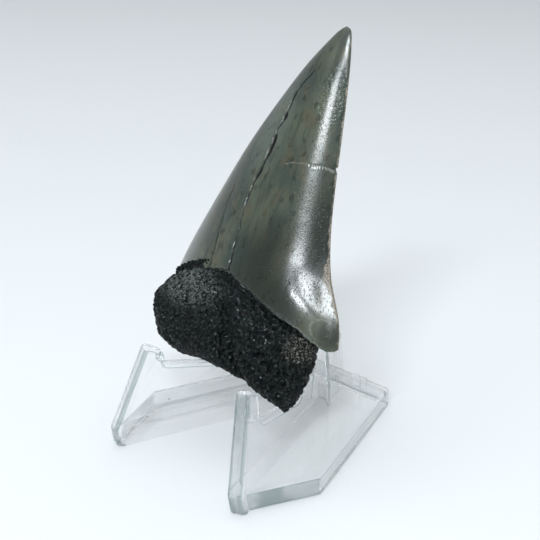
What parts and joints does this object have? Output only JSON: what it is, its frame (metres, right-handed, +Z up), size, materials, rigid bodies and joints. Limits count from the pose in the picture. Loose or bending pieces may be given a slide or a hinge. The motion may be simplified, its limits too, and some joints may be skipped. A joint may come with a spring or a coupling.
{
  "type": "fossil shark tooth on display stand",
  "caption": "Large dark fossil shark tooth, crown up, resting in a small clear V-shaped moulded display stand.",
  "frame": {"origin": "middle of the footprint, on the underside of the stand", "axes": "+Z up, -Y towards the prongs and the tooth's bulging inner face, +X to the right seen from the front"},
  "size_m": [0.035, 0.0382, 0.0583],
  "materials": {
    "fossil": "polished dark olive enamel over a darker, finely porous root",
    "clear_plastic": "clear glossy, frosted on some front edges"
  },
  "bodies": {
    "root": {"tooth": "fossil", "stand": "clear_plastic"}
  },
  "joints": []
}
